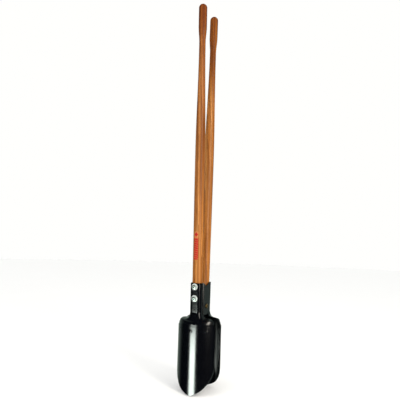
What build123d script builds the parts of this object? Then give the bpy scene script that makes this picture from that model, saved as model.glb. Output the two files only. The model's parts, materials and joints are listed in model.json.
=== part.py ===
from build123d import *

# A two-handled clam-shell post hole digger, in millimetres.
#
# Two halves of one shape face each other and turn on two short bolts. Each half is a hardwood
# handle bolted into a pressed-steel frame, with a curved blade riveted round the frame's skirt.
# The front half lies towards -Y. The back half is the front half turned half round the Z axis.
#
# The origin is on the ground, midway between the two blade points, with +Z up the handles and X
# along the pivot. The blades stand upright and the handles lean slightly outwards.

import os
from math import asin, cos, degrees, radians, sin, sqrt

# Blade: part of an upright tube, with a blunt point
BLADE_LENGTH = 250.0
BLADE_RADIUS = 90.7
BLADE_HALF_ANGLE = 60.2
BLADE_STEEL = 2.5
BLADE_REACH = 75.7
ARC_CENTRE_Y = BLADE_RADIUS - BLADE_REACH
POINT_HEIGHT = 123.0
POINT_SHOULDER = (72.5, 66.0)
POINT_FLANK = (45.4, 24.0)
POINT_SLOPE = 18.0
OUTLINE_MARGIN = 2.0

# Handle: turned hardwood, 48 inches long
HANDLE_LENGTH = 1219.0
HANDLE_BOTTOM_Z = 333.0
HANDLE_TOP_Z = HANDLE_BOTTOM_Z + HANDLE_LENGTH
HANDLE_RADIUS = 20.2
TAPER_START = (HANDLE_RADIUS, 900.0)
TAPER_MIDDLE = (16.7, 1140.0)
WAIST = (13.2, 1385.0)
GRIP_RADIUS = 17.2
GRIP_START_Z = 1456.0
GRIP_END_Z = 1537.0
HANDLE_CHAMFER = 1.5

# Frame: pressed steel, a square-shouldered channel that opens into a curved skirt
FRAME_STEEL = 3.0
HANDLE_FIT = 0.25
CHANNEL_INNER = HANDLE_RADIUS + HANDLE_FIT
CHANNEL_OUTER = CHANNEL_INNER + FRAME_STEEL
CHANNEL_CORNER = 15.0
CHANNEL_TOP_Z = 412.0
CHANNEL_BOTTOM_Z = 300.0
SKIRT_FIT = 0.05
SKIRT_OUTER = BLADE_RADIUS - BLADE_STEEL - SKIRT_FIT
SKIRT_INNER = SKIRT_OUTER - FRAME_STEEL
SKIRT_HALF_ANGLE = 57.0
SKIRT_CORNER = 12.0
SKIRT_TOP_Z = 258.0
SKIRT_BOTTOM_Z = 222.0
THROAT_BACK_Y = -24.0
THROAT_OVERRUN = 0.6
# The throat's sections: height and slope at the back, half width, distance from the blade's axis
# and corner radius. Each section drops towards the front by its slope, in degrees.
THROAT_SECTIONS = [
    (290.5, 2.0, 24.6, 68.0, 14.0),
    (283.2, 9.0, 29.0, 71.0, 14.0),
    (277.6, 14.0, 47.0, 78.0, 14.0),
    (271.8, 11.0, 67.5, 84.5, 11.0),
    (SKIRT_TOP_Z, 0.0, 73.9, SKIRT_OUTER, 6.0),
]

# Pivot: one bolt a side, through two lapped cheeks
PIVOT_Z = 321.0
HANDLE_OFFSET = 28.2
HANDLE_LEAN = 1.24
CHEEK_GAP = 0.4
JOGGLE = FRAME_STEEL + CHEEK_GAP
JOGGLE_END_Y = -25.0
CHEEK_REACH = 14.0
CHEEK_LOW_REACH = 11.0
CHEEK_BOTTOM_Z = 289.0
CHEEK_CORNER = 4.0
NOTCH_START_Y = -26.0
NOTCH_SLOPE = 0.62

# Fasteners: 3/8 inch bolts with nuts and flat washers, and solid rivets
BOLT_RADIUS = 4.75
HOLE_RADIUS = 5.2
PIVOT_FIT = 0.08
PIVOT_HOLE_RADIUS = BOLT_RADIUS + PIVOT_FIT
BOLT_HEAD_RADIUS = 10.7
BOLT_HEAD_HEIGHT = 4.8
BOLT_OVERHANG = 3.0
BOLT_CHAMFER = 0.8
NUT_FLATS = 14.3
NUT_HEIGHT = 8.3
NUT_CHAMFER = 0.9
NUT_CHAMFER_RUN = 1.35
NUT_FIT = 0.05
NUT_BORE = BOLT_RADIUS + NUT_FIT
WASHER_RADIUS = 12.7
WASHER_THICKNESS = 1.8
PIVOT_HEAD_RADIUS = 8.6
PIVOT_HEAD_HEIGHT = 4.4
PIVOT_WASHER_RADIUS = 9.6
FACE_GAP = 0.1
HANDLE_BOLTS = {"upper": 398.0, "lower": 353.5}
CHANNEL_FRONT = -(HANDLE_OFFSET + CHANNEL_OUTER)
SPOT_FACE_RADIUS = 11.6
SPOT_FACE_REACH = 17.2
SPOT_FACE = -(HANDLE_OFFSET - SPOT_FACE_REACH)
DIMPLE_Z = 314.0
DIMPLE_RADIUS = 7.0
DIMPLE_DEPTH = 3.2
RIM_SHARE = 0.2
RIVET_Z = 234.0
RIVET_RADIUS = 4.0
RIVET_HOLE_RADIUS = 4.1
RIVET_DRILL_LENGTH = 20.0
RIVET_HEAD_RADIUS = 7.0
RIVET_HEAD_HEIGHT = 2.8
RIVET_SEAT = 0.45
RIVET_ANGLES = {"left": -40.0, "centre": 0.0, "right": 40.0}

LEAN = Pos(0, 0, PIVOT_Z) * Rot(HANDLE_LEAN, 0, 0) * Pos(0, 0, -PIVOT_Z)
HALF_TURN = Rot(0, 0, 180)
CLEAR = 200.0


def rod_y(radius, y_low, y_high, z):
    """A round rod along Y through the handle's centre plane."""
    return Pos(0, (y_low + y_high) / 2, z) * Rot(90, 0, 0) * Cylinder(radius, y_high - y_low)


def rod_x(radius, x_low, x_high):
    """A round rod along the pivot."""
    return Pos((x_low + x_high) / 2, 0, PIVOT_Z) * Rot(0, 90, 0) * Cylinder(radius, x_high - x_low)


def cap_edge(radius, low, high):
    """A ball's outline, from its rim up to its crown on the axis."""
    rise = high - low
    ball = (radius**2 + rise**2) / (2 * rise)
    half_way = radius / 2
    middle = (half_way, high - ball + sqrt(ball**2 - half_way**2))
    return Edge.make_three_point_arc((radius, low), middle, (0, high))


def dome(radius, height):
    """A low dome that stands on the XY plane."""
    rim = height * RIM_SHARE
    outline = [
        Edge.make_line((0, 0), (radius, 0)),
        Edge.make_line((radius, 0), (radius, rim)),
        cap_edge(radius, rim, height),
        Edge.make_line((0, height), (0, 0)),
    ]
    return revolve(Plane.XZ * make_face(outline), Axis.Z)


def arc_point(radius, angle):
    """A place in plan on the blade's arc, at an angle from -Y towards +X."""
    return (radius * sin(radians(angle)), ARC_CENTRE_Y - radius * cos(radians(angle)))


def arc_band(inner, outer, half_angle, z_low, z_high):
    """An upright curved plate that bulges towards -Y."""
    outline = [
        Edge.make_three_point_arc(*(arc_point(outer, a) for a in (-half_angle, 0, half_angle))),
        Edge.make_line(arc_point(outer, half_angle), arc_point(inner, half_angle)),
        Edge.make_three_point_arc(*(arc_point(inner, a) for a in (half_angle, 0, -half_angle))),
        Edge.make_line(arc_point(inner, -half_angle), arc_point(outer, -half_angle)),
    ]
    return Pos(0, 0, z_low) * extrude(Face(Wire(outline)), z_high - z_low, dir=(0, 0, 1))


def on_blade(angle, z, radius):
    """A place on the blade's arc, with its own +Z pointing out of the tube."""
    x, y = arc_point(radius, angle)
    out = (sin(radians(angle)), -cos(radians(angle)), 0)
    return Plane(origin=(x, y, z), x_dir=(0, 0, 1), z_dir=out).location


def rivet_holes():
    drill = Cylinder(RIVET_HOLE_RADIUS, RIVET_DRILL_LENGTH)
    return [on_blade(angle, RIVET_Z, SKIRT_OUTER) * drill for angle in RIVET_ANGLES.values()]


def blade_outline():
    """The blade from the front: straight sides and a blunt point."""
    edge_x = BLADE_RADIUS * sin(radians(BLADE_HALF_ANGLE))
    side_x = edge_x + OUTLINE_MARGIN
    slope = (cos(radians(POINT_SLOPE)), sin(radians(POINT_SLOPE)))
    curve = Edge.make_spline(
        [(0, 0), POINT_FLANK, POINT_SHOULDER, (edge_x, POINT_HEIGHT)], tangents=[slope, (0, 1)]
    )
    outline = [
        curve,
        Edge.make_line((edge_x, POINT_HEIGHT), (side_x, POINT_HEIGHT)),
        Edge.make_line((side_x, POINT_HEIGHT), (side_x, BLADE_LENGTH)),
        Edge.make_line((side_x, BLADE_LENGTH), (0, BLADE_LENGTH)),
        Edge.make_line((0, BLADE_LENGTH), (0, 0)),
    ]
    right = extrude(Plane.XZ * Face(Wire(outline)), CLEAR, both=True)
    return right + mirror(right, about=Plane.YZ)


def blade():
    band = arc_band(
        BLADE_RADIUS - BLADE_STEEL, BLADE_RADIUS, BLADE_HALF_ANGLE, 0.0, BLADE_LENGTH
    )
    return (band & blade_outline()) - rivet_holes()


def rivet(angle):
    seat = SKIRT_INNER - RIVET_SEAT
    length = BLADE_RADIUS - seat
    shank = Pos(0, 0, length / 2) * Cylinder(RIVET_RADIUS, length)
    outer = Pos(0, 0, length) * dome(RIVET_HEAD_RADIUS, RIVET_HEAD_HEIGHT)
    inner = Rot(180, 0, 0) * dome(RIVET_HEAD_RADIUS, RIVET_HEAD_HEIGHT)
    return on_blade(angle, RIVET_Z, seat) * (shank + outer + inner)


def channel_wire(inset, back_y):
    """The channel in plan: a flat front, rounded corners and straight sides, closed at the back."""
    half_width = CHANNEL_OUTER - inset
    corner = CHANNEL_CORNER - inset
    front_y = -HANDLE_OFFSET - CHANNEL_OUTER + inset
    middle = corner * (1 - sqrt(1 / 2))
    return Wire([
        Edge.make_line((-half_width, back_y), (-half_width, front_y + corner)),
        Edge.make_three_point_arc(
            (-half_width, front_y + corner),
            (-half_width + middle, front_y + middle),
            (-half_width + corner, front_y),
        ),
        Edge.make_line((-half_width + corner, front_y), (half_width - corner, front_y)),
        Edge.make_three_point_arc(
            (half_width - corner, front_y),
            (half_width - middle, front_y + middle),
            (half_width, front_y + corner),
        ),
        Edge.make_line((half_width, front_y + corner), (half_width, back_y)),
        Edge.make_line((half_width, back_y), (-half_width, back_y)),
    ])


def throat_wire(half_width, reach, corner, back_y):
    """The throat in plan: its front follows the blade's arc and its sides run straight back."""
    centre_x = half_width - corner
    centre_y = ARC_CENTRE_Y - sqrt((reach - corner) ** 2 - centre_x**2)
    meet_angle = degrees(asin(centre_x / (reach - corner)))

    def bend(angle):
        return (centre_x + corner * sin(radians(angle)), centre_y - corner * cos(radians(angle)))

    def flip(point):
        return (-point[0], point[1])

    meet, middle, side = bend(meet_angle), bend((meet_angle + 90) / 2), bend(90)
    back = (half_width, back_y)
    return Wire([
        Edge.make_line(flip(back), flip(side)),
        Edge.make_three_point_arc(flip(side), flip(middle), flip(meet)),
        Edge.make_three_point_arc(flip(meet), (0, ARC_CENTRE_Y - reach), meet),
        Edge.make_three_point_arc(meet, middle, side),
        Edge.make_line(side, back),
        Edge.make_line(back, flip(back)),
    ])


def throat_solid(inset, overrun):
    """The throat's filled form, drawn in by the inset and run past its open ends by the overrun."""
    back_y = THROAT_BACK_Y + overrun
    top = channel_wire(inset, back_y)
    faces = [LEAN * Pos(0, 0, CHANNEL_BOTTOM_Z + overrun) * Face(top)]
    for z, slope, half_width, reach, corner in THROAT_SECTIONS:
        drop = inset if z > SKIRT_TOP_Z else overrun
        wire = throat_wire(half_width - inset, reach - inset, corner - inset, back_y)
        tilt = Pos(0, THROAT_BACK_Y, z - drop) * Rot(slope, 0, 0) * Pos(0, -THROAT_BACK_Y, 0)
        faces.append(tilt * Face(wire))
    return loft(faces)


def throat():
    return throat_solid(0.0, 0.0) - throat_solid(FRAME_STEEL, THROAT_OVERRUN)


def channel_form(inset):
    """The channel's filled form, drawn in by the inset, from its front to the handle's centre."""
    height = CHANNEL_TOP_Z - CHANNEL_BOTTOM_Z
    plan = Face(channel_wire(inset, -HANDLE_OFFSET))
    return Pos(0, 0, CHANNEL_BOTTOM_Z) * extrude(plan, height, dir=(0, 0, 1))


def cheek_outline():
    """A cheek from the side, with its half of the notch at the top and the pivot's hole."""
    notch_drop = NOTCH_SLOPE * (CHEEK_REACH - NOTCH_START_Y)
    points = [
        (-HANDLE_OFFSET, CHEEK_BOTTOM_Z),
        (CHEEK_LOW_REACH, CHEEK_BOTTOM_Z),
        (CHEEK_REACH, PIVOT_Z - CHEEK_REACH),
        (CHEEK_REACH, CHANNEL_TOP_Z - notch_drop),
        (NOTCH_START_Y, CHANNEL_TOP_Z),
        (-HANDLE_OFFSET, CHANNEL_TOP_Z),
    ]
    face = Face(Wire.make_polygon([Vector(*point) for point in points]))
    rounded = fillet(face.vertices().filter_by(lambda v: v.X > THROAT_BACK_Y), CHEEK_CORNER)
    return extrude(Plane.YZ * rounded, CLEAR, both=True) - rod_x(PIVOT_HOLE_RADIUS, -CLEAR, CLEAR)


def cheek(step):
    """The +X cheek. It steps outwards where it laps over the other half's cheek."""
    inner, outer = CHANNEL_INNER, CHANNEL_OUTER
    points = [
        (inner, -HANDLE_OFFSET),
        (outer, -HANDLE_OFFSET),
        (outer + step, JOGGLE_END_Y),
        (outer + step, CHEEK_REACH),
        (inner + step, CHEEK_REACH),
        (inner + step, JOGGLE_END_Y),
    ]
    plan = Face(Wire.make_polygon([Vector(*point) for point in points]))
    return Pos(0, 0, CHEEK_BOTTOM_Z) * extrude(plan, CHANNEL_TOP_Z - CHEEK_BOTTOM_Z, dir=(0, 0, 1))


def dimple(radius):
    """A ball that presses the channel's front inwards, as a stop under the handle."""
    front = HANDLE_OFFSET + CHANNEL_OUTER
    return Pos(0, -(front + DIMPLE_RADIUS - DIMPLE_DEPTH), DIMPLE_Z) * Sphere(radius)


def skirt():
    height = SKIRT_TOP_Z - SKIRT_BOTTOM_Z
    band = arc_band(SKIRT_INNER, SKIRT_OUTER, SKIRT_HALF_ANGLE, SKIRT_BOTTOM_Z, SKIRT_TOP_Z)
    width = 2 * SKIRT_OUTER * sin(radians(SKIRT_HALF_ANGLE))
    corners = Plane.XZ * Pos(0, SKIRT_TOP_Z) * RectangleRounded(width, 2 * height, SKIRT_CORNER)
    return band & extrude(corners, CLEAR, both=True)


def frame():
    hollow = channel_form(FRAME_STEEL)
    cheeks = (cheek(JOGGLE) + mirror(cheek(0.0), about=Plane.YZ)) & cheek_outline()
    neck = (channel_form(0.0) - hollow) + cheeks
    neck += dimple(DIMPLE_RADIUS + FRAME_STEEL) & hollow
    shape = LEAN * neck + throat() + skirt()
    holes = [rod_y(HOLE_RADIUS, -CLEAR, -HANDLE_OFFSET, z) for z in HANDLE_BOLTS.values()]
    cuts = [LEAN * cut for cut in [*holes, dimple(DIMPLE_RADIUS)]]
    return shape - cuts - rivet_holes()


def handle():
    """A turned pole that narrows to a waist below a straight, round-ended grip."""
    foot = HANDLE_RADIUS - HANDLE_CHAMFER
    grip_low = (GRIP_RADIUS, GRIP_START_Z)
    grip_high = (GRIP_RADIUS, GRIP_END_Z)
    upright = [(0, 1), (0, 1)]
    outline = [
        Edge.make_line((0, HANDLE_BOTTOM_Z), (foot, HANDLE_BOTTOM_Z)),
        Edge.make_line((foot, HANDLE_BOTTOM_Z), (HANDLE_RADIUS, HANDLE_BOTTOM_Z + HANDLE_CHAMFER)),
        Edge.make_line((HANDLE_RADIUS, HANDLE_BOTTOM_Z + HANDLE_CHAMFER), TAPER_START),
        Edge.make_spline([TAPER_START, TAPER_MIDDLE, WAIST], tangents=upright),
        Edge.make_spline([WAIST, grip_low], tangents=upright),
        Edge.make_line(grip_low, grip_high),
        cap_edge(GRIP_RADIUS, GRIP_END_Z, HANDLE_TOP_Z),
        Edge.make_line((0, HANDLE_TOP_Z), (0, HANDLE_BOTTOM_Z)),
    ]
    pole = Pos(0, -HANDLE_OFFSET, 0) * revolve(Plane.XZ * make_face(outline), Axis.Z)
    for z in HANDLE_BOLTS.values():
        pole -= rod_y(HOLE_RADIUS, -CLEAR, 0, z)
        pole -= rod_y(SPOT_FACE_RADIUS, SPOT_FACE, 0, z)
    return LEAN * pole


def washer(radius):
    """A flat washer that stands on the XY plane."""
    ring = Cylinder(radius, WASHER_THICKNESS) - Cylinder(HOLE_RADIUS, WASHER_THICKNESS)
    return Pos(0, 0, WASHER_THICKNESS / 2) * ring


def nut():
    """A hexagon nut that stands on the XY plane, with its corners turned off at both ends."""
    corner = NUT_FLATS / sqrt(3)
    hexagon = extrude(RegularPolygon(corner, 6), NUT_HEIGHT)
    turned = Pos(0, 0, NUT_HEIGHT / 2) * Cylinder(corner, NUT_HEIGHT)
    turned = chamfer(turned.edges().filter_by(GeomType.CIRCLE), NUT_CHAMFER, NUT_CHAMFER_RUN)
    bore = Pos(0, 0, NUT_HEIGHT / 2) * Cylinder(NUT_BORE, NUT_HEIGHT)
    return (hexagon & turned) - bore


def bolt(grip, head_radius, head_height):
    """A round-headed bolt: its head stands on the XY plane and its shank hangs below."""
    length = grip + WASHER_THICKNESS + NUT_HEIGHT + BOLT_OVERHANG + 3 * FACE_GAP
    shank = Pos(0, 0, -length / 2) * Cylinder(BOLT_RADIUS, length)
    shank = chamfer(shank.edges().group_by(Axis.Z)[0], BOLT_CHAMFER)
    return shank + dome(head_radius, head_height)


def handle_fasteners(z):
    """The bolt, washer and nut that hold the handle in the channel at one height."""
    inwards = Rot(-90, 0, 0)
    outwards = Rot(90, 0, 0)
    seat = CHANNEL_FRONT - FACE_GAP
    nut_seat = seat - WASHER_THICKNESS - FACE_GAP
    grip = SPOT_FACE - CHANNEL_FRONT
    return {
        "bolt": LEAN * Pos(0, SPOT_FACE + FACE_GAP, z) * inwards
        * bolt(grip, BOLT_HEAD_RADIUS, BOLT_HEAD_HEIGHT),
        "washer": LEAN * Pos(0, seat, z) * outwards * washer(WASHER_RADIUS),
        "nut": LEAN * Pos(0, nut_seat, z) * outwards * nut(),
    }


def pivot_fasteners():
    """The pivot's bolt, washers and nut on the +X side, with the bolt's head outside."""
    outside = CHANNEL_OUTER + JOGGLE + FACE_GAP
    inside = CHANNEL_INNER - FACE_GAP
    head_seat = outside + WASHER_THICKNESS + FACE_GAP
    nut_seat = inside - WASHER_THICKNESS - FACE_GAP
    grip = head_seat - nut_seat - FACE_GAP
    out, back = Rot(0, 90, 0), Rot(0, -90, 0)
    return {
        "pivot_bolt": Pos(head_seat, 0, PIVOT_Z) * out
        * bolt(grip - WASHER_THICKNESS, PIVOT_HEAD_RADIUS, PIVOT_HEAD_HEIGHT),
        "pivot_outer_washer": Pos(outside, 0, PIVOT_Z) * out * washer(PIVOT_WASHER_RADIUS),
        "pivot_inner_washer": Pos(inside, 0, PIVOT_Z) * back * washer(PIVOT_WASHER_RADIUS),
        "pivot_nut": Pos(nut_seat, 0, PIVOT_Z) * back * nut(),
    }


def half():
    """The front half's pieces, by name."""
    pieces = {"blade": blade(), "frame": frame(), "handle": handle()}
    for place, z in HANDLE_BOLTS.items():
        for name, shape in handle_fasteners(z).items():
            pieces[f"{place}_{name}"] = shape
    for place, angle in RIVET_ANGLES.items():
        pieces[f"{place}_rivet"] = rivet(angle)
    return pieces


def digger():
    """Every piece of the tool, by node name."""
    nodes = {}
    for name, shape in half().items():
        nodes[f"front_{name}"] = shape
        nodes[f"back_{name}"] = HALF_TURN * shape
    for name, shape in pivot_fasteners().items():
        nodes[f"right_{name}"] = shape
        nodes[f"left_{name}"] = HALF_TURN * shape
    return nodes


os.makedirs("parts", exist_ok=True)
for node, shape in digger().items():
    export_step(shape, f"parts/{node}.step")
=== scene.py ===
import json
from math import cos, floor as whole, pi, radians, sin, sqrt, tan

import bmesh
import bpy
from mathutils import Matrix, Vector


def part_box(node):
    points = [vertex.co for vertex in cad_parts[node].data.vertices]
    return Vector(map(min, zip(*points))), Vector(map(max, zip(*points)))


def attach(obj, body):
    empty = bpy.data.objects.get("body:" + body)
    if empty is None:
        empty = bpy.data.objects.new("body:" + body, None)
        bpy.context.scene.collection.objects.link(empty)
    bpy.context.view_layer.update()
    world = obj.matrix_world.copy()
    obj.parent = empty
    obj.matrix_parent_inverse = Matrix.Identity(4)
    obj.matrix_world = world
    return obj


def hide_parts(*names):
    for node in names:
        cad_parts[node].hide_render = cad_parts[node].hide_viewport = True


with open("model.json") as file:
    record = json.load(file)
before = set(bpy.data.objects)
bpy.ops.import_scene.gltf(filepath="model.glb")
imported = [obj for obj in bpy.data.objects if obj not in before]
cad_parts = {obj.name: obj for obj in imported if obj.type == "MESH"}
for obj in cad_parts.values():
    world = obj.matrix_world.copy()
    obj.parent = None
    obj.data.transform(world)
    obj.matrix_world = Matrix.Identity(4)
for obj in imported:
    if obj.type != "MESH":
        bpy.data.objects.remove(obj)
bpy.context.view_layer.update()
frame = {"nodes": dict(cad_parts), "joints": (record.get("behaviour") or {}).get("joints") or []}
NODES = frame["nodes"]

# Camera: right of the front, low, and tilted a little up
CAMERA_AZIMUTH = radians(27.0)
CAMERA_DISTANCE = 1.6834
CAMERA_HEIGHT = 0.5559
CAMERA_SIDE = -0.015
CAMERA_PITCH = radians(6.21)
CAMERA_ROLL = radians(1.73)
CAMERA_LENS = 37.572
CAMERA_SHIFT = 0.0007

# Places in the row frame, in metres
PIVOT_Z = frame["joints"][0]["pos_m"][2]
HANDLE_LEAN = radians(1.24)
HANDLE_OFFSET = 0.0282
MM = 0.001

# Every lathed piece: points round a ring, and the angle above which an edge looks sharp
RING_POINTS = 72
SHARP_ANGLE = radians(32.0)

# Fasteners, in millimetres. Shares are of the height, the rim or the roll that they shape.
BOLT_RADIUS = 4.75
HOLE_RADIUS = 5.2
THREAD_PITCH = 1.5875
THREAD_STEP = THREAD_PITCH / 8
THREAD_DEPTH = 0.55
THREAD_FLANK = 2.2
THREAD_LENGTH = 14.0
THREAD_RUNOUT = 0.6
TIP_CHAMFER = 1.4
TIP_LENGTH = 0.9
CENTRE_DOT = 0.4
NUT_FLATS = 14.3
NUT_HEIGHT = 8.3
NUT_FACE = 6.8
NUT_BLUNT = 0.985
NUT_SINK = 0.8
NUT_CONE = radians(30.0)
WASHER_RADIUS = 12.7
WASHER_HEIGHT = 1.8
WASHER_ROLL = 0.35
WASHER_BURR = 0.4
PIVOT_WASHER = 9.6
BOLT_HEAD = 10.7
BOLT_HEAD_RISE = 4.8
HANDLE_BOLT_SPAN = (-7.15, 46.9)  # the tip and the head's seat, from the nut's centre
PIVOT_HEAD = 8.6
PIVOT_HEAD_RISE = 4.4
PIVOT_BOLT_SPAN = (-7.35, 14.55)
PIVOT_THREAD_END = 2.0
DOME_STEPS = 10
DOME_RIM = 0.22
DOME_ROLL = 0.5
DOME_ROLL_END = 40
DOME_INSET = 0.3
DOME_DOT = 0.05
RIVET_ANGLES = {"left": -40.0, "centre": 0.0, "right": 40.0}
RIVET_HEAD = 7.0
RIVET_RISE = 2.8
RIVET_SHANK = 4.0
RIVET_SPAN = (84.7, 90.7)  # the two heads' seats, from the axis of the blade's curve
ARC_CENTRE = 15.0

# The label, in metres: heights, the radius it lies at, and how it narrows towards its ends
LABEL_HEIGHTS = (0.502, 0.611)
LABEL_RADIUS = 0.02026
LABEL_HALF_ANGLE = radians(26.0)
LABEL_STRAIGHT = 0.90
LABEL_ROUNDING = 0.10
LABEL_ROWS = 48
LABEL_COLUMNS = 16

# Looks: colours, and the width in metres over which the enamel rounds an edge
WOOD_LIGHT = (0.600, 0.290, 0.095)
WOOD_MID = (0.400, 0.150, 0.028)
WOOD_DARK = (0.225, 0.072, 0.010)
WOOD_RING = (0.150, 0.045, 0.005)
WOOD_PORE = (0.085, 0.025, 0.004)
WOOD_END = (0.340, 0.170, 0.070)
FRONT_STAIN = (0.440, 0.260, 0.080)
BACK_STAIN = (0.600, 0.430, 0.100)
WOOD_SHIFT = (0.37, 0.91, 0.53)
STAIN_HEIGHTS = (0.55, 1.50)
ENAMEL_DARK = (0.0006, 0.0008, 0.0018)
ENAMEL_SOFT = (0.0012, 0.0016, 0.0028)
ENAMEL_DUST = (0.040, 0.046, 0.044)
ENAMEL_CLOUDING = 0.07
EDGE_RADIUS = 0.0006
ZINC_TONES = ((0.80, 0.86, 0.82), (0.60, 0.66, 0.63))
# Zinc plating on the nuts and bolts, the same as on the washers, but painted darker as painted
# shade
SHADED_NUT_ZINC_TONES = ((0.66, 0.76, 0.71), (0.42, 0.52, 0.48))
YELLOW_ZINC_TONES = ((0.26, 0.19, 0.08), (0.10, 0.07, 0.04))
# Painted shade: the colour and reach of the darkening painted into the creases of plated parts
PLATED_PAINTED_SHADE = (0.05, 0.05, 0.05)
PAINTED_SHADE_REACH = 0.0012
PLATED_CLOUDING = 0.14
LABEL_RED = (0.330, 0.009, 0.005)
LABEL_GAP = (0.400, 0.135, 0.040)

# Label print: places are shares of the label's width and height
BAR_COUNT = 13.0
BAR_SLANT = 0.55
BAR_GAP = 0.16
BARS_END = 0.77
LOZENGE_CENTRE = 0.89
LOZENGE_STEEPNESS = 5.5
LOZENGE_REACH = 0.46

# Studio. Each room value maps a direction, from the camera's side (-1) to behind the tool (+1),
# to a glow: the two directions come first, then the glow at each.
REFLECTED_ROOM = (0.32, 0.98, 0.003, 0.62)
ROOM_FILL = (-1.0, 1.0, 1.95, 0.25)
BACKDROP = 1.0
ROOM_COLOUR = (1.0, 1.0, 0.985)
REFLECTED_COLOUR = (0.80, 1.0, 0.87)
FLOOR_RADIUS = 12.0
FLOOR_SEGMENTS = 96
FLOOR_Z = -0.0005
COOL_GREEN = (0.90, 1.0, 0.93)
WARM = (1.0, 0.93, 0.82)


# ---------------------------------------------------------------- node helpers


class Nodes:
    """A short way to write a material's node tree."""

    def __init__(self, name):
        self.material = bpy.data.materials.new(name)
        self.material.use_nodes = True
        self.tree = self.material.node_tree
        self.shader = self.tree.nodes["Principled BSDF"]

    def add(self, kind, inputs=None, **settings):
        node = self.tree.nodes.new(kind)
        for key, value in settings.items():
            setattr(node, key, value)
        for key, value in (inputs or {}).items():
            self.feed(node.inputs[key], value)
        return node

    def feed(self, socket, value):
        if isinstance(value, bpy.types.NodeSocket):
            self.tree.links.new(value, socket)
        else:
            socket.default_value = value

    def set(self, **inputs):
        for key, value in inputs.items():
            self.feed(self.shader.inputs[key.replace("_", " ")], value)

    def place(self):
        """The point's own place on the object."""
        return self.add("ShaderNodeTexCoord").outputs["Object"]

    def moved(self, place, **change):
        """A place that is shifted or stretched."""
        return self.add("ShaderNodeMapping", {"Vector": place, **change}).outputs["Vector"]

    def noise(self, place, scale, detail=4.0, roughness=0.55, distortion=0.0):
        inputs = {"Vector": place, "Scale": scale, "Detail": detail, "Roughness": roughness}
        inputs["Distortion"] = distortion
        return self.add("ShaderNodeTexNoise", inputs).outputs["Fac"]

    def ramp(self, value, stops):
        node = self.add("ShaderNodeValToRGB", {"Fac": value})
        elements = node.color_ramp.elements
        while len(elements) < len(stops):
            elements.new(0.5)
        for element, (position, colour) in zip(elements, stops):
            element.position = position
            element.color = (*colour, 1.0)
        return node.outputs["Color"]

    def levels(self, value, low, high, to_low=0.0, to_high=1.0):
        inputs = {0: value, 1: low, 2: high, 3: to_low, 4: to_high}
        return self.add("ShaderNodeMapRange", inputs).outputs["Result"]

    def math(self, operation, a, b=0.0):
        return self.add("ShaderNodeMath", {0: a, 1: b}, operation=operation).outputs["Value"]

    def mix(self, factor, a, b, blend="MIX"):
        node = self.add("ShaderNodeMix", data_type="RGBA", blend_type=blend)
        for socket, value in ((0, factor), (6, a), (7, b)):
            if isinstance(value, tuple) and len(value) == 3:
                value = (*value, 1.0)
            self.feed(node.inputs[socket], value)
        return node.outputs[2]

    def bump(self, height, distance, strength=1.0, normal=None):
        inputs = {"Height": height, "Distance": distance, "Strength": strength}
        if normal is not None:
            inputs["Normal"] = normal
        return self.add("ShaderNodeBump", inputs).outputs["Normal"]


# ---------------------------------------------------------------- materials


def wood_material(name, seed, stain):
    """Varnished hardwood: long grain, pores, slow changes of tone, end grain and a darker top."""
    n = Nodes(name)
    coords = n.place()
    moved = n.moved(coords, Location=Vector([seed * part for part in WOOD_SHIFT]))

    def stretched(share):
        return n.moved(moved, Scale=(1.0, 1.0, share))

    broad = n.noise(stretched(0.03), scale=62.0, detail=3.0, roughness=0.5, distortion=0.5)
    drift = n.noise(stretched(0.5), scale=6.0, detail=2.0, roughness=0.5)
    waves = {"Scale": 34.0, "Distortion": 7.0, "Detail": 3.0, "Detail Scale": 1.2}
    rings = n.add(
        "ShaderNodeTexWave",
        {"Vector": stretched(0.05), **waves},
        wave_type="BANDS",
        bands_direction="DIAGONAL",
        wave_profile="SAW",
    ).outputs["Fac"]
    fine = n.noise(stretched(0.014), scale=900.0, detail=3.0, roughness=0.6)
    spots = n.noise(stretched(0.02), scale=1500.0, detail=2.0, roughness=0.5)
    pores = n.levels(spots, 0.60, 0.69)
    tone = n.ramp(broad, [(0.32, WOOD_DARK), (0.50, WOOD_MID), (0.70, WOOD_LIGHT)])
    ringed = n.mix(n.levels(rings, 0.30, 1.0, 0.0, 0.72), tone, WOOD_RING)
    drifted = n.mix(n.levels(drift, 0.40, 0.70, 0.0, 0.35), ringed, WOOD_RING)
    grained = n.mix(n.levels(fine, 0.42, 0.70, 0.0, 0.45), drifted, WOOD_RING)
    pored = n.mix(n.math("MULTIPLY", pores, 0.6), grained, WOOD_PORE)
    height = n.add("ShaderNodeSeparateXYZ", {"Vector": coords}).outputs["Z"]
    darker = n.mix(1.0, pored, stain, "MULTIPLY")
    stained = n.mix(n.levels(height, *STAIN_HEIGHTS), pored, darker)
    normal = n.add("ShaderNodeNewGeometry").outputs["Normal"]
    facing = n.add("ShaderNodeSeparateXYZ", {"Vector": normal})
    end = n.levels(n.math("ABSOLUTE", facing.outputs["Z"]), 0.80, 0.97)
    cells = n.noise(moved, scale=900.0, detail=3.0, roughness=0.6)
    speckle = n.ramp(cells, [(0.42, WOOD_PORE), (0.62, WOOD_END)])
    n.set(Base_Color=n.mix(end, stained, speckle), Roughness=n.levels(fine, 0.3, 0.8, 0.34, 0.46))
    n.set(Coat_Weight=0.08, Coat_Roughness=0.26, Specular_IOR_Level=0.16)
    n.set(Normal=n.bump(n.math("SUBTRACT", fine, pores), 0.00012, 0.40))
    return n.material


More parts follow.
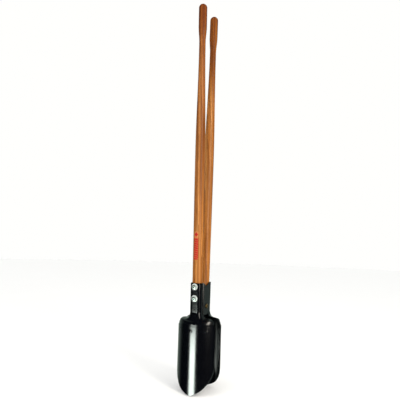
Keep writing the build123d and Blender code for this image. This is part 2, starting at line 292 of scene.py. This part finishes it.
def enamel_material(name, roughness, coat, wear, peel_depth):
    """Black enamel on pressed steel: soft waves, dust specks, and edges softened by the paint."""
    n = Nodes(name)
    place = n.place()
    cloud = n.noise(place, scale=9.0, detail=4.0, roughness=0.6)
    peel = n.noise(place, scale=420.0, detail=2.0, roughness=0.5)
    wave = n.noise(place, scale=20.0, detail=2.0, roughness=0.5)
    specks = n.levels(n.noise(place, scale=560.0, detail=2.0, roughness=0.6), 0.72, 0.77)
    colour = n.mix(cloud, ENAMEL_DARK, ENAMEL_SOFT)
    dusty = n.mix(n.math("MULTIPLY", specks, wear), colour, ENAMEL_DUST)
    rough = n.levels(cloud, 0.3, 0.75, roughness, roughness + ENAMEL_CLOUDING)
    n.set(Base_Color=dusty, Roughness=rough)
    n.set(Coat_Weight=coat, Coat_Roughness=0.12, Specular_IOR_Level=0.5)
    edge = n.add("ShaderNodeBevel", {"Radius": EDGE_RADIUS}, samples=4).outputs["Normal"]
    ripple = n.bump(wave, 0.0012, 0.16, edge)
    n.set(Normal=n.bump(peel, peel_depth, 0.35, ripple))
    return n.material


def plated_material(name, colour, dull, roughness, metallic):
    """Bright plated steel with faint cloudiness, painted shade darkening its creases, and fine
    tool marks.
    """
    n = Nodes(name)
    place = n.place()
    cloud = n.noise(place, scale=160.0, detail=4.0, roughness=0.6)
    fine = n.noise(place, scale=1400.0, detail=2.0, roughness=0.5)
    # Painted shade: ambient occlusion darkens the colour in creases and where parts meet
    occlusion = n.add("ShaderNodeAmbientOcclusion", {"Distance": PAINTED_SHADE_REACH}, samples=4)
    painted_shade = occlusion.outputs["AO"]
    cloudy = n.mix(n.levels(cloud, 0.35, 0.7), colour, dull)
    n.set(Base_Color=n.mix(n.levels(painted_shade, 0.2, 0.75), PLATED_PAINTED_SHADE, cloudy), Metallic=metallic)
    n.set(Roughness=n.levels(cloud, 0.3, 0.75, roughness, roughness + PLATED_CLOUDING))
    n.set(Normal=n.bump(fine, 0.00005, 0.4))
    return n.material


def label_material():
    """A printed label: plain slanted red bars with a lozenge at the top, on the bare wood."""
    n = Nodes("label")
    where = n.add("ShaderNodeSeparateXYZ", {"Vector": n.add("ShaderNodeUVMap").outputs["UV"]})
    across, along = where.outputs["X"], where.outputs["Y"]
    bars = n.math("MULTIPLY", along, BAR_COUNT)
    slanted = n.math("ADD", bars, n.math("MULTIPLY", across, BAR_SLANT))
    gaps = n.math("LESS_THAN", n.math("FRACT", slanted), BAR_GAP)
    from_side = n.math("ABSOLUTE", n.math("SUBTRACT", across, 0.5))
    from_centre = n.math("ABSOLUTE", n.math("SUBTRACT", along, LOZENGE_CENTRE))
    spread = n.math("ADD", from_side, n.math("MULTIPLY", from_centre, LOZENGE_STEEPNESS))
    off_lozenge = n.math("GREATER_THAN", spread, LOZENGE_REACH)
    bare = n.mix(n.math("GREATER_THAN", along, BARS_END), gaps, off_lozenge)
    worn = n.levels(n.noise(n.place(), scale=900.0, detail=3.0), 0.62, 0.72, 0.0, 0.5)
    ink = n.mix(n.math("MAXIMUM", bare, worn), LABEL_RED, LABEL_GAP)
    n.set(Base_Color=ink, Roughness=0.45, Specular_IOR_Level=0.20)
    return n.material


# ---------------------------------------------------------------- studio


def make_camera():
    """A camera in front of the tool, tilted up and rolled a little."""
    across = Vector((cos(CAMERA_AZIMUTH), sin(CAMERA_AZIMUTH), 0.0))
    ahead = Vector((-sin(CAMERA_AZIMUTH), cos(CAMERA_AZIMUTH), 0.0))
    up = Vector((0.0, 0.0, 1.0))
    place = across * CAMERA_SIDE - ahead * CAMERA_DISTANCE + up * CAMERA_HEIGHT
    look = ahead * cos(CAMERA_PITCH) + up * sin(CAMERA_PITCH)
    top = up * cos(CAMERA_PITCH) - ahead * sin(CAMERA_PITCH)
    right = across * cos(CAMERA_ROLL) + top * sin(CAMERA_ROLL)
    top = top * cos(CAMERA_ROLL) - across * sin(CAMERA_ROLL)
    turn = Matrix((right, top, -look)).transposed().to_4x4()
    data = bpy.data.cameras.new("camera")
    data.lens = CAMERA_LENS
    data.shift_x = CAMERA_SHIFT
    camera = bpy.data.objects.new("camera", data)
    camera.matrix_world = Matrix.Translation(place) @ turn
    bpy.context.scene.collection.objects.link(camera)
    bpy.context.scene.camera = camera


def softbox(name, bearing, distance, height, size, power, aim_z):
    """A rectangular light on a stand. Its bearing is degrees from the camera's, to the right."""
    angle = CAMERA_AZIMUTH + radians(bearing)
    place = Vector((sin(angle) * distance, -cos(angle) * distance, height))
    data = bpy.data.lights.new(name, "AREA")
    data.shape = "RECTANGLE"
    data.size, data.size_y = size
    data.energy = power
    light = bpy.data.objects.new(name, data)
    light.location = place
    aim = Vector((0.0, 0.0, aim_z)) - place
    light.rotation_euler = aim.to_track_quat("-Z", "Y").to_euler()
    light.visible_camera = False
    bpy.context.scene.collection.objects.link(light)
    return light


def reflected_only(light):
    """Lets a light show in glossy surfaces and give no diffuse light."""
    light.visible_diffuse = False


def make_world():
    """A white backdrop to the eye, and soft fill that is brighter from the camera's side.

    Reflections see another room: dark in front, and greenish white behind the tool.
    """
    world = bpy.data.worlds.new("studio")
    bpy.context.scene.world = world
    world.use_nodes = True
    tree = world.node_tree
    tree.nodes.clear()
    rays = tree.nodes.new("ShaderNodeLightPath")
    direction = tree.nodes.new("ShaderNodeTexCoord")
    turn = tree.nodes.new("ShaderNodeVectorMath")
    turn.operation = "DOT_PRODUCT"
    turn.inputs[1].default_value = (-sin(CAMERA_AZIMUTH), cos(CAMERA_AZIMUTH), 0.0)
    tree.links.new(direction.outputs["Generated"], turn.inputs[0])
    fade = tree.nodes.new("ShaderNodeMapRange")
    for socket, value in zip(fade.inputs[1:5], REFLECTED_ROOM):
        socket.default_value = value
    tree.links.new(turn.outputs["Value"], fade.inputs[0])
    seen = tree.nodes.new("ShaderNodeMix")
    tree.links.new(rays.outputs["Is Glossy Ray"], seen.inputs[0])
    fill = tree.nodes.new("ShaderNodeMapRange")
    for socket, value in zip(fill.inputs[1:5], ROOM_FILL):
        socket.default_value = value
    tree.links.new(turn.outputs["Value"], fill.inputs[0])
    tree.links.new(fill.outputs["Result"], seen.inputs[2])
    tree.links.new(fade.outputs["Result"], seen.inputs[3])
    backdrop = tree.nodes.new("ShaderNodeMix")
    tree.links.new(rays.outputs["Is Camera Ray"], backdrop.inputs[0])
    tree.links.new(seen.outputs[0], backdrop.inputs[2])
    backdrop.inputs[3].default_value = BACKDROP
    glow = tree.nodes.new("ShaderNodeBackground")
    tint = tree.nodes.new("ShaderNodeMix")
    tint.data_type = "RGBA"
    tree.links.new(rays.outputs["Is Glossy Ray"], tint.inputs[0])
    tint.inputs[6].default_value = (*ROOM_COLOUR, 1.0)
    tint.inputs[7].default_value = (*REFLECTED_COLOUR, 1.0)
    tree.links.new(tint.outputs[2], glow.inputs["Color"])
    tree.links.new(backdrop.outputs[0], glow.inputs["Strength"])
    output = tree.nodes.new("ShaderNodeOutputWorld")
    tree.links.new(glow.outputs["Background"], output.inputs["Surface"])


def make_floor():
    """A wide pale floor, matt and a little rough."""
    mesh = bpy.data.meshes.new("floor")
    form = bmesh.new()
    bmesh.ops.create_circle(form, cap_ends=True, radius=FLOOR_RADIUS, segments=FLOOR_SEGMENTS)
    form.to_mesh(mesh)
    form.free()
    floor = bpy.data.objects.new("floor", mesh)
    floor.location.z = FLOOR_Z
    n = Nodes("floor")
    cloud = n.noise(n.place(), 3.0, 3.0)
    n.set(Base_Color=n.mix(cloud, (0.94, 0.94, 0.94), (0.96, 0.96, 0.96)), Roughness=0.9)
    mesh.materials.append(n.material)
    floor.visible_glossy = False
    bpy.context.scene.collection.objects.link(floor)


make_camera()
make_world()
make_floor()
bpy.context.scene.view_settings.view_transform = "Standard"
left_core = softbox(
    "left_core", bearing=-41.5, distance=1.9, height=-0.60,
    size=(0.86, 0.92), power=56.0, aim_z=-0.60,
)
left_soft = softbox(
    "left_soft", bearing=-42.0, distance=2.0, height=-0.57,
    size=(1.25, 0.95), power=14.0, aim_z=-0.57,
)
for light in (left_core, left_soft):
    reflected_only(light)
    light.data.color = COOL_GREEN
left_fill = softbox(
    "left_fill", bearing=-43.0, distance=1.9, height=1.20,
    size=(1.00, 2.00), power=2.5, aim_z=1.20,
)
left_fill.visible_glossy = False
wood_key = softbox(
    "wood_key", bearing=34.0, distance=2.2, height=1.25,
    size=(0.50, 2.16), power=38.0, aim_z=1.10,
)
wood_key.data.color = WARM


# ---------------------------------------------------------------- mesh pieces


def skin(name, rows, closed):
    """A mesh through rings of points. The rings close on one another, or both ends are capped."""
    form = bmesh.new()
    rings = [[form.verts.new(point) for point in row] for row in rows]
    count = len(rings[0])
    pairs = list(zip(rings, rings[1:]))
    if closed:
        pairs.append((rings[-1], rings[0]))
    else:
        form.faces.new(list(reversed(rings[0])))
        form.faces.new(rings[-1])
    for low, high in pairs:
        for i in range(count):
            j = (i + 1) % count
            form.faces.new((low[i], low[j], high[j], high[i]))
    bmesh.ops.recalc_face_normals(form, faces=form.faces)
    mesh = bpy.data.meshes.new(name)
    form.to_mesh(mesh)
    form.free()
    mesh.shade_smooth()
    mesh.set_sharp_from_angle(angle=SHARP_ANGLE)
    piece = bpy.data.objects.new(name, mesh)
    bpy.context.scene.collection.objects.link(piece)
    return piece


def ring(radius_at, z_at):
    """One ring of points. Its radius and height, in millimetres, may change with the angle."""
    angles = [2 * pi * i / RING_POINTS for i in range(RING_POINTS)]
    return [Vector((radius_at(a) * cos(a), radius_at(a) * sin(a), z_at(a))) * MM for a in angles]


def even(radius, z):
    """A plain round ring, in millimetres."""
    return ring(lambda _: radius, lambda _: z)


def arc(centre, radius, start, end, steps=6):
    """Places along an arc in a lathe's outline. Angles are in degrees from outwards to up."""
    stops = [radians(start + (end - start) * i / steps) for i in range(steps + 1)]
    return [(centre[0] + radius * cos(a), centre[1] + radius * sin(a)) for a in stops]


def washer_rows(inner, outer, height):
    """A stamped washer: a rolled rim underneath and a nearly sharp one on top."""
    half, roll = height / 2, height * WASHER_ROLL
    burr = roll * WASHER_BURR
    outline = [(inner, -half), (outer - roll, -half)]
    outline += arc((outer - roll, -half + roll), roll, -90, 0)
    outline += arc((outer - burr, half - burr), burr, 0, 90)
    outline += [(inner + roll, half)] + arc((inner + roll, half - roll), roll, 90, 180)
    return [even(*point) for point in outline]


def hex_radius(angle):
    """The distance from a nut's axis to its flats and its slightly blunt corners."""
    step = pi / 3
    from_flat = angle - step * whole(angle / step + 0.5)
    return min(NUT_FLATS / 2 / cos(from_flat), NUT_FLATS / sqrt(3) * NUT_BLUNT)


def nut_rows():
    """A hexagon nut with cone-turned corners and a countersunk bore."""
    half = NUT_HEIGHT / 2

    def cone(angle):
        return half - max(0.0, hex_radius(angle) - NUT_FACE) * tan(NUT_CONE)

    return [
        even(BOLT_RADIUS, -half + NUT_SINK),
        even(BOLT_RADIUS + NUT_SINK, -half),
        even(NUT_FACE, -half),
        ring(hex_radius, lambda a: -cone(a)),
        ring(hex_radius, cone),
        even(NUT_FACE, half),
        even(BOLT_RADIUS + NUT_SINK, half),
        even(BOLT_RADIUS, half - NUT_SINK),
    ]


def thread_rows(low, high):
    """A screw thread: the surface steps in and out once a pitch and turns with the angle."""
    steps = int((high - low) / THREAD_STEP)
    rows = []
    for i in range(steps + 1):
        z = low + (high - low) * i / steps

        def radius(angle, z=z):
            phase = (z / THREAD_PITCH - angle / (2 * pi)) % 1.0
            return BOLT_RADIUS - THREAD_DEPTH * min(1.0, THREAD_FLANK * abs(2 * phase - 1))

        rows.append(ring(radius, lambda _, z=z: z))
    return rows


def bolt_rows(tip, thread_end, seat, head_radius, head_height):
    """A bolt along Z, from its threaded tip up to its domed head."""
    rows = [even(CENTRE_DOT, tip), even(BOLT_RADIUS - TIP_CHAMFER, tip)]
    rows += thread_rows(tip + TIP_LENGTH, thread_end)
    rows += [even(BOLT_RADIUS, thread_end + THREAD_RUNOUT), even(BOLT_RADIUS, seat)]
    rows += dome_rows(head_radius, seat, head_height)
    return rows


def dome_rows(radius, seat, height):
    """A domed head with a rolled rim."""
    rim = height * DOME_RIM
    roll = rim * DOME_ROLL
    ball = (radius**2 + (height - rim) ** 2) / (2 * (height - rim))
    rows = [even(radius - roll, seat)]
    rows += [even(*p) for p in arc((radius - roll, seat + roll), roll, -90, DOME_ROLL_END)]
    for i in range(1, DOME_STEPS + 1):
        r = (radius - rim * DOME_INSET) * cos(pi / 2 * i / DOME_STEPS)
        rows.append(even(max(r, DOME_DOT), seat + height - ball + sqrt(ball**2 - r**2)))
    return rows


def rivet_rows():
    """A solid rivet along Z, with a domed head at each end."""
    seat, top = RIVET_SPAN
    lift = Vector((0.0, 0.0, seat * MM))
    head = dome_rows(RIVET_HEAD, 0.0, RIVET_RISE)
    rows = [[Vector((p.x, p.y, -p.z)) + lift for p in row] for row in reversed(head)]
    rows += [even(RIVET_SHANK, seat), even(RIVET_SHANK, top)]
    return rows + dome_rows(RIVET_HEAD, top, RIVET_RISE)


def centre_of(node):
    """The middle of a CAD node's box, in metres."""
    low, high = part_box(node)
    return (low + high) / 2


def stand(piece, centre, axis, node, material):
    """Turns a piece's +Z to the axis, puts it at its centre and lets it stand for its CAD node."""
    turn = axis.to_track_quat("Z", "X").to_matrix().to_4x4()
    piece.data.transform(Matrix.Translation(centre) @ turn)
    piece.data.materials.append(material)
    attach(piece, "back_half" if node.startswith("back_") else "front_half")
    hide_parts(node)


def handle_fasteners(half, place):
    """The washer, nut and bolt that hold one handle at one height."""
    side = -1.0 if half == "front" else 1.0
    axis = Vector((0.0, side * cos(HANDLE_LEAN), -sin(HANDLE_LEAN)))
    stem = f"{half}_{place}"
    nut_centre = centre_of(f"{stem}_nut")
    rows = washer_rows(HOLE_RADIUS, WASHER_RADIUS, WASHER_HEIGHT)
    washer = skin(f"{stem}_washer_part", rows, True)
    stand(washer, centre_of(f"{stem}_washer"), axis, f"{stem}_washer", ZINC)
    nut = skin(f"{stem}_nut_part", nut_rows(), True)
    stand(nut, nut_centre, axis, f"{stem}_nut", SHADED_NUT_ZINC)
    tip, seat = HANDLE_BOLT_SPAN
    rows = bolt_rows(tip, tip + THREAD_LENGTH, seat, BOLT_HEAD, BOLT_HEAD_RISE)
    bolt = skin(f"{stem}_bolt_part", rows, False)
    stand(bolt, nut_centre, -axis, f"{stem}_bolt", SHADED_NUT_ZINC)


def pivot_fasteners(side_name, side):
    """The pivot's bolt, washers and nut on one side, with the bolt's head outside."""
    axis = Vector((side, 0.0, 0.0))
    stem = f"{side_name}_pivot"
    nut_centre = centre_of(f"{stem}_nut")
    for place in ("outer", "inner"):
        node = f"{stem}_{place}_washer"
        rows = washer_rows(HOLE_RADIUS, PIVOT_WASHER, WASHER_HEIGHT)
        washer = skin(f"{node}_part", rows, True)
        stand(washer, centre_of(node), axis, node, YELLOW_ZINC)
    nut = skin(f"{stem}_nut_part", nut_rows(), True)
    stand(nut, nut_centre, axis, f"{stem}_nut", YELLOW_ZINC)
    tip, seat = PIVOT_BOLT_SPAN
    rows = bolt_rows(tip, PIVOT_THREAD_END, seat, PIVOT_HEAD, PIVOT_HEAD_RISE)
    bolt = skin(f"{stem}_bolt_part", rows, False)
    stand(bolt, nut_centre, axis, f"{stem}_bolt", YELLOW_ZINC)


def rivets(half):
    """Three rivets through one blade, each square to the blade's curve."""
    side = 1.0 if half == "front" else -1.0
    for place, angle in RIVET_ANGLES.items():
        node = f"{half}_{place}_rivet"
        turn = radians(angle)
        axis = Vector((side * sin(turn), -side * cos(turn), 0.0))
        on_axis = Vector((0.0, side * ARC_CENTRE * MM, centre_of(node).z))
        rivet = skin(f"{node}_part", rivet_rows(), False)
        stand(rivet, on_axis, axis, node, RIVET_ENAMEL)


def label_half_angle(v):
    """How far round the handle the label reaches, at a share v of its height."""
    corner = max(0.0, abs(2 * v - 1) - LABEL_STRAIGHT) / (1 - LABEL_STRAIGHT)
    return LABEL_HALF_ANGLE * (1 - LABEL_ROUNDING * corner**3)


def label_mesh():
    """A sheet on the upright handle's front, with its own flat coordinates for the print."""
    low, high = LABEL_HEIGHTS
    form = bmesh.new()
    grid, places = [], []
    for j in range(LABEL_ROWS + 1):
        v = j / LABEL_ROWS
        reach = label_half_angle(v)
        row = []
        for i in range(LABEL_COLUMNS + 1):
            u = i / LABEL_COLUMNS
            turn = reach * (2 * u - 1)
            x, y = LABEL_RADIUS * sin(turn), -HANDLE_OFFSET - LABEL_RADIUS * cos(turn)
            row.append(form.verts.new(Vector((x, y, low + (high - low) * v))))
            places.append((0.5 + (u - 0.5) * reach / LABEL_HALF_ANGLE, v))
        grid.append(row)
    for low_row, high_row in zip(grid, grid[1:]):
        for i in range(LABEL_COLUMNS):
            form.faces.new((low_row[i], low_row[i + 1], high_row[i + 1], high_row[i]))
    form.verts.index_update()
    layer = form.loops.layers.uv.new("label")
    for face in form.faces:
        for loop in face.loops:
            loop[layer].uv = places[loop.vert.index]
    mesh = bpy.data.meshes.new("front_label")
    form.to_mesh(mesh)
    form.free()
    mesh.shade_smooth()
    return mesh


def label():
    """A printed label that wraps a little way round the front of the front handle."""
    mesh = label_mesh()
    pivot = Matrix.Translation((0.0, 0.0, PIVOT_Z))
    mesh.transform(pivot @ Matrix.Rotation(HANDLE_LEAN, 4, "X") @ pivot.inverted())
    mesh.materials.append(label_material())
    piece = bpy.data.objects.new("front_label", mesh)
    bpy.context.scene.collection.objects.link(piece)
    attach(piece, "front_half")


WOODS = {"front": wood_material("wood_front", 1.0, FRONT_STAIN)}
WOODS["back"] = wood_material("wood_back", 2.6, BACK_STAIN)
BLADE_ENAMEL = enamel_material(
    "blade_enamel", roughness=0.17, coat=0.25, wear=0.25, peel_depth=0.00012
)
FRAME_ENAMEL = enamel_material(
    "frame_enamel", roughness=0.16, coat=0.0, wear=0.4, peel_depth=0.00008
)
RIVET_ENAMEL = enamel_material(
    "rivet_enamel", roughness=0.16, coat=0.60, wear=0.9, peel_depth=0.00006
)
ZINC = plated_material("zinc", *ZINC_TONES, roughness=0.24, metallic=0.45)
# Nuts and bolts: the washers' zinc with darker colours that stand in for painted shade
SHADED_NUT_ZINC = plated_material("shaded_nut_zinc", *SHADED_NUT_ZINC_TONES, roughness=0.20, metallic=0.93)
YELLOW_ZINC = plated_material("yellow_zinc", *YELLOW_ZINC_TONES, roughness=0.3, metallic=0.9)


def finish_for(name):
    """The finish of a CAD node, by its name."""
    if name.endswith("_handle"):
        return WOODS[name.split("_")[0]]
    if name.endswith("_blade"):
        return BLADE_ENAMEL
    if name.endswith("_frame"):
        return FRAME_ENAMEL
    if name.endswith("_rivet"):
        return RIVET_ENAMEL
    if "pivot" in name:
        return YELLOW_ZINC
    return ZINC


for node_name, node in NODES.items():
    for material_slot in node.material_slots:
        material_slot.material = finish_for(node_name)
for half_name in ("front", "back"):
    handle_fasteners(half_name, "upper")
    handle_fasteners(half_name, "lower")
    rivets(half_name)
pivot_fasteners("right", 1.0)
pivot_fasteners("left", -1.0)
label()
